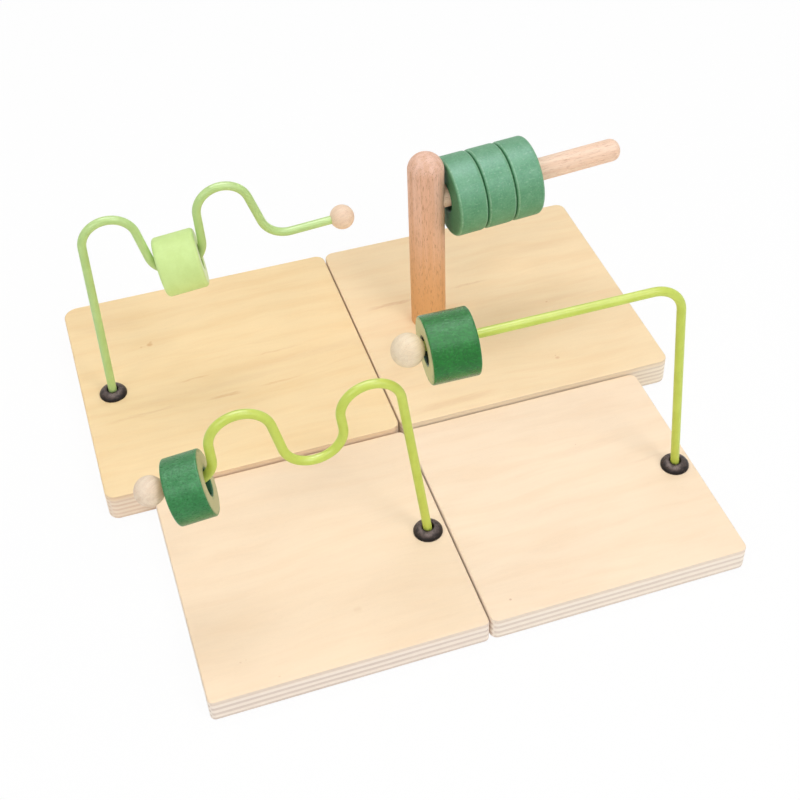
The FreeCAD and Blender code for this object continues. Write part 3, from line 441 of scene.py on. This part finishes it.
def ring_paint(graph, spot, look, grain, brush, mottle):
    """Stained or painted skin: the grain shows through, with clouds and pale specks that are painted
    flecks of sheen.
    """
    cloud = graph.grain(spot, 0.16, 0.13, 0.13)
    sheen_speck = graph.grain(spot, 0.75, 0.9, 0.9, 4.0, 0.7)
    colour = graph.mix(graph.span(cloud, 0.34, 0.68, 0.0, 1.0, True), look["body"], look["deep"])
    colour = graph.shade(colour, grain, 1.0 - look["grain"], 1.0 + look["grain"] * 0.6)
    colour = graph.shade(colour, mottle, 1.0 - look["mottle"], 1.0 + look["mottle"], 0.36, 0.64)
    # Painted sheen: pale flecks standing in for glints on the bumpy paint.
    light = graph.times(graph.span(sheen_speck, 0.50, 0.70, 0.0, look["sheen_speck"], True),
                        graph.span(brush, 0.42, 0.62, 0.15, 1.0))
    return graph.mix(light, colour, look["pale"])


def ring_rims(graph, colour, spot, off, out, look):
    """Paler outer rims, partly worn paint and partly a painted highlight along the rounded edges."""
    half, wide, rounding = look["long"] / 2, look["wide"] / 2, look["round"]
    chip = graph.grain(spot, 0.45, 0.45, 0.45, 4.0, 0.7)
    rim = graph.times(graph.band(off, half - rounding * 0.5, rounding * 0.06, rounding * 0.26),
                      graph.span(out, wide - rounding * 1.1, wide - rounding * 0.5))
    rim = graph.times(rim, graph.span(chip, 0.38, 0.62, look["tone_shift"] * 0.2, look["tone_shift"]))
    return graph.mix(rim, colour, look["shifted"])


def ring_face(graph, spot, out, look, tick):
    """Cut face: end grain with growth rings about the heart, and paint smeared at both edges."""
    y, z = graph.split(spot)[1:]
    wide, bore = look["wide"] / 2, look["bore"] / 2
    heart = graph.length(0.0, graph.less(y, HEART_Y), graph.less(z, HEART_Z))
    warp = graph.grain(spot, 0.0, 0.12, 0.12)
    rings = graph.math("SINE", graph.add(graph.times(heart, RING_TURN), graph.times(warp, 7.0)))
    face = graph.mix(graph.span(rings, -0.2, 0.9, 0.0, 0.5, True), look["face"], look["face_ring"])
    face = graph.shade(face, tick, 0.93, 1.05)
    smear = graph.grain(spot, 0.3, 0.34, 0.34, 3.0, 0.6)
    reach = graph.add(out, graph.spread(smear, -1.6, 1.6))
    near_bore = graph.span(reach, bore + 0.3, bore + 1.6, look["smear"], 0.0, True)
    near_rim = graph.span(reach, wide - 2.4, wide - 0.9, 0.0, look["smear"], True)
    return graph.mix(graph.more(near_bore, near_rim), face, look["deep"])


def painted_ring(node, name, turn, look):
    """Stained or painted hardwood ring with cut faces, paler rims that are partly worn paint and partly
    a painted highlight, and a bore darkened with painted shade.
    """
    graph = Graph(name)
    spot = graph.local(middle(node), turn)
    x, y, z = graph.split(spot)
    half, bore = look["long"] / 2, look["bore"] / 2
    off = graph.size(x)
    out = graph.length(0.0, y, z)
    grain = graph.grain(spot, 0.10, 1.7, 1.7, 3.0, 0.6)
    brush = graph.grain(spot, 0.5, 0.9, 0.9, 4.0, 0.65)
    mottle = graph.grain(spot, 0.8, 0.95, 0.95, 2.0, 0.6)
    tick = graph.grain(spot, 0.4, 2.4, 2.4, 2.0, 0.6)
    colour = ring_paint(graph, spot, look, grain, brush, mottle)
    colour = ring_rims(graph, colour, spot, off, out, look)
    on_face = graph.span(off, half - 0.28, half - 0.08, 0.0, 1.0, True)
    colour = graph.mix(on_face, colour, ring_face(graph, spot, out, look, tick))
    # Bore wall, darkened as painted shade inside the bore
    shaded_wall = graph.shade(look["bore_shade"], brush, 0.8, 1.15)
    inside = graph.span(out, bore + 0.25, bore + 0.75, 1.0, 0.0, True)
    inside = graph.times(inside, graph.less(1.0, on_face))
    colour = graph.mix(inside, colour, shaded_wall)
    relief = graph.add(graph.times(grain, 0.3), graph.times(mottle, 0.7))
    relief = graph.less(relief, graph.times(graph.times(on_face, tick), 0.5))
    rough = graph.spread(brush, look["gloss"], look["gloss"] + 0.14)
    rough = graph.add(rough, graph.times(graph.times(on_face, look["bare"]), 0.2))
    return graph.finish(colour, rough, graph.bump(relief, look["relief"]),
                        Specular_IOR_Level=look["shine"], Specular_Tint=look["tint"])


for node, (name, turn, look) in RINGS.items():
    dress(node, painted_ring(node, name, turn, look))

# Coated wires: the coat's body, its paler clouds and its dull rubbed places
PALE_GREEN = (srgb(184, 214, 132), srgb(192, 220, 142), srgb(172, 200, 124))
LIME_GREEN = (srgb(196, 211, 84), srgb(204, 219, 96), srgb(178, 190, 80))
# Dark metal of the collars, with radii in millimetres. Its crown carries a painted highlight, and the
# crease at the wire and the outer rim carry painted shade.
BRONZE_PALE, BRONZE_DEEP = srgb(74, 60, 54), srgb(34, 27, 25)
CROWN_HIGHLIGHT, CROWN_RADIUS = srgb(92, 80, 76), 5.4
CREASE_SHADE, CREASE_SHADE_FULL, CREASE_SHADE_END = srgb(22, 19, 18), 2.7, 4.0
RIM_SHADE, RIM_SHADE_START, RIM_SHADE_FULL = srgb(22, 18, 17), 6.9, 8.1
# Zinc plate of the fixings
ZINC_BRIGHT, ZINC_DULL = srgb(198, 200, 204), srgb(166, 168, 170)


def coat(name, body, pale, dull):
    """Smooth coloured coating on a bent wire, with faint clouds and orange peel."""
    graph = Graph(name)
    spot = graph.local()
    cloud = graph.grain(spot, 0.09, 0.09, 0.09, 3.0)
    peel = graph.grain(spot, 1.3, 1.3, 1.3)
    rub = graph.grain(spot, 0.5, 0.5, 0.5, 4.0, 0.7)
    colour = graph.mix(graph.span(cloud, 0.35, 0.65), body, pale)
    colour = graph.mix(graph.span(rub, 0.58, 0.75, 0.0, 0.35, True), colour, dull)
    colour = graph.shade(colour, peel, 0.985, 1.015)
    return graph.finish(colour, graph.spread(rub, 0.28, 0.4), graph.bump(peel, 0.02 * MM),
                        Specular_IOR_Level=0.4)


def collar_metal(name, node):
    """Satin bronzed steel, faintly turned, with a painted highlight on its crown and painted shade in
    the crease at the wire and along the outer rim.
    """
    graph = Graph(name)
    spot = graph.local(middle(node))
    x, y, z = graph.split(spot)
    out = graph.length(x, y, 0.0)
    lathe = graph.noise(graph.join(graph.times(out, 6.0), graph.times(z, 2.0), 0.0))
    grit = graph.grain(spot, 3.0, 3.0, 3.0, 3.0, 0.6)
    patch = graph.grain(spot, 0.42, 0.42, 0.42, 3.0, 0.6)
    colour = graph.mix(graph.span(patch, 0.38, 0.62), BRONZE_PALE, BRONZE_DEEP)
    # Painted highlight around the crown of the dome.
    crown_highlight = graph.band(out, CROWN_RADIUS, 0.7, 1.2)
    crown_highlight = graph.times(crown_highlight, graph.span(patch, 0.35, 0.6, 1.0, 0.25))
    colour = graph.mix(crown_highlight, colour, CROWN_HIGHLIGHT)
    colour = graph.shade(colour, grit, 0.88, 1.1)
    # Painted shade in the crease where the wire goes in.
    crease_shade = graph.span(out, CREASE_SHADE_FULL, CREASE_SHADE_END, 0.85, 0.0, True)
    colour = graph.mix(crease_shade, colour, CREASE_SHADE)
    # Painted shade along the outer rim.
    rim = graph.span(out, RIM_SHADE_START, RIM_SHADE_FULL, 0.0, 0.92, True)
    colour = graph.mix(rim, colour, RIM_SHADE)
    height = graph.add(graph.times(lathe, 0.5), graph.times(grit, 0.5))
    return graph.finish(colour, graph.span(patch, 0.35, 0.65, 0.24, 0.4),
                        graph.bump(height, 0.01 * MM), Metallic=0.6)


def zinc_metal(name):
    """Bright zinc plate with a fine spangle and a few dull patches."""
    graph = Graph(name)
    spot = graph.local()
    grit = graph.grain(spot, 4.0, 4.0, 4.0, 3.0, 0.6)
    patch = graph.grain(spot, 0.4, 0.4, 0.4, 3.0)
    colour = graph.mix(graph.span(patch, 0.35, 0.7), ZINC_BRIGHT, ZINC_DULL)
    colour = graph.shade(colour, grit, 0.93, 1.04)
    return graph.finish(colour, graph.spread(patch, 0.26, 0.44), graph.bump(grit, 0.01 * MM),
                        Metallic=1.0)


pale_coat = coat("pale_green_coat", *PALE_GREEN)
lime_coat = coat("lime_green_coat", *LIME_GREEN)
zinc = zinc_metal("zinc_plate")
WIRE_COATS = {"back_left": pale_coat, "front_left": lime_coat, "front_right": lime_coat}
for station, wire_coat in WIRE_COATS.items():
    collar = station + "_collar"
    dress(station + "_wire", wire_coat)
    dress(collar, collar_metal(station + "_bronzed_steel", collar))
    dress(station + "_washer", zinc)
    dress(station + "_nut", zinc)
dress("back_right_screw", zinc)

# Camera fitted to the photograph. Pixels are counted from the middle of the first one.
PHOTO_PX = 800.0
FOCAL_PX = 1380.7
MIDDLE_PX = (446.542, 404.877)
SENSOR_MM = 36.0
CAMERA_ELEVATION, CAMERA_YAW, CAMERA_ROLL = (math.radians(angle) for angle in (44.299, 18.802, -0.503))
CAMERA_DISTANCE = 0.859361
CAMERA_AIM = Vector((0.037445, 0.013241, 0.0))
CLIP_START = 0.01

# Light of the room on the object, and the share of plain white in what the camera sees of the floor
ROOM_LIGHT = 0.58
FLOOR_WHITE_SHARE = 0.93
FLOOR_REACH = 6.0
FLOOR_BELOW = 0.0002
LAMP_AIM = Vector((0.0, 0.0, 0.05))
LAMP_REACH = 1.5


def add_camera():
    """Camera where the photograph was taken from."""
    flat = math.cos(CAMERA_ELEVATION)
    forward = Vector((math.sin(CAMERA_YAW) * flat, math.cos(CAMERA_YAW) * flat,
                      -math.sin(CAMERA_ELEVATION)))
    level = Vector((math.cos(CAMERA_YAW), -math.sin(CAMERA_YAW), 0.0))
    above = level.cross(forward)
    right = math.cos(CAMERA_ROLL) * level + math.sin(CAMERA_ROLL) * above
    up = -math.sin(CAMERA_ROLL) * level + math.cos(CAMERA_ROLL) * above
    data = bpy.data.cameras.new("view_camera")
    camera = bpy.data.objects.new("view_camera", data)
    bpy.context.scene.collection.objects.link(camera)
    turn = Matrix((right, up, -forward)).transposed().to_4x4()
    camera.matrix_world = Matrix.Translation(CAMERA_AIM - forward * CAMERA_DISTANCE) @ turn
    half_px = (PHOTO_PX - 1.0) / 2.0
    data.sensor_width = SENSOR_MM
    data.lens = FOCAL_PX / PHOTO_PX * SENSOR_MM
    data.shift_x = (half_px - MIDDLE_PX[0]) / PHOTO_PX
    data.shift_y = (MIDDLE_PX[1] - half_px) / PHOTO_PX
    data.clip_start = CLIP_START
    bpy.context.scene.camera = camera


def add_softbox(name, azimuth, elevation, wide, high, light, sheen):
    """Rectangular softbox facing the object. Azimuth 0 is the front, 90 the right side.

    Light is its radiance on matt surfaces and sheen its radiance in reflections.
    """
    around, over = math.radians(azimuth), math.radians(elevation)
    away = Vector((math.sin(around) * math.cos(over), -math.cos(around) * math.cos(over),
                   math.sin(over)))
    for part, radiance in (("light", light), ("sheen", sheen)):
        if radiance == 0.0:
            continue
        data = bpy.data.lights.new(name + "_" + part, "AREA")
        data.shape = "RECTANGLE"
        data.size = wide
        data.size_y = high
        data.energy = radiance * math.pi * wide * high
        lamp = bpy.data.objects.new(name + "_" + part, data)
        bpy.context.scene.collection.objects.link(lamp)
        lamp.location = LAMP_AIM + away * LAMP_REACH
        lamp.rotation_euler = (-away).to_track_quat("-Z", "Y").to_euler()
        lamp.visible_glossy = part == "sheen"
        lamp.visible_diffuse = part == "light"


def seen_directly(tree):
    """One for camera, glossy and transmission rays."""
    rays = tree.nodes.new("ShaderNodeLightPath")
    total = rays.outputs["Is Camera Ray"]
    for name in ("Is Glossy Ray", "Is Transmission Ray"):
        node = tree.nodes.new("ShaderNodeMath")
        node.operation = "MAXIMUM"
        tree.links.new(total, node.inputs[0])
        tree.links.new(rays.outputs[name], node.inputs[1])
        total = node.outputs[0]
    return total


def add_floor():
    """Pale floor that shows white to the camera and keeps a soft shadow."""
    graph = Graph("pale_floor")
    graph.finish(srgb(252, 252, 252), 0.9, Specular_IOR_Level=0.0)
    glow = graph.tree.nodes.new("ShaderNodeEmission")
    glow.inputs["Strength"].default_value = 1.0
    blend = graph.tree.nodes.new("ShaderNodeMixShader")
    graph.link(graph.times(seen_directly(graph.tree), FLOOR_WHITE_SHARE), blend.inputs[0])
    graph.link(graph.shader.outputs[0], blend.inputs[1])
    graph.link(glow.outputs[0], blend.inputs[2])
    graph.link(blend.outputs[0], graph.output.inputs["Surface"])
    mesh = bpy.data.meshes.new("floor")
    corners = [(x * FLOOR_REACH, y * FLOOR_REACH, 0.0) for x, y in ((-1, -1), (1, -1), (1, 1), (-1, 1))]
    mesh.from_pydata(corners, [], [(0, 1, 2, 3)])
    floor = bpy.data.objects.new("floor", mesh)
    floor.location.z = -FLOOR_BELOW
    mesh.materials.append(graph.material)
    bpy.context.scene.collection.objects.link(floor)


def white_background(tree, strength):
    """Plain white light from all round."""
    node = tree.nodes.new("ShaderNodeBackground")
    node.inputs["Color"].default_value = WHITE
    node.inputs["Strength"].default_value = strength
    return node.outputs[0]


def add_world():
    """Even room light, white where it is seen directly."""
    world = bpy.data.worlds.new("studio")
    bpy.context.scene.world = world
    world.use_nodes = True
    tree = world.node_tree
    tree.nodes.clear()
    output = tree.nodes.new("ShaderNodeOutputWorld")
    blend = tree.nodes.new("ShaderNodeMixShader")
    tree.links.new(seen_directly(tree), blend.inputs[0])
    tree.links.new(white_background(tree, ROOM_LIGHT), blend.inputs[1])
    tree.links.new(white_background(tree, 1.0), blend.inputs[2])
    tree.links.new(blend.outputs[0], output.inputs["Surface"])


add_camera()
add_floor()
add_world()
add_softbox("top_softbox", azimuth=178.0, elevation=75.0, wide=1.3, high=0.65, light=2.0, sheen=15.0)
add_softbox("front_softbox", azimuth=10.0, elevation=66.0, wide=1.4, high=1.3, light=0.0, sheen=1.7)
add_softbox("right_softbox", azimuth=28.0, elevation=46.0, wide=0.5, high=1.1, light=3.2, sheen=9.0)
add_softbox("left_softbox", azimuth=-52.0, elevation=38.0, wide=0.35, high=0.6, light=3.2, sheen=12.0)
bpy.context.scene.view_settings.view_transform = "Standard"
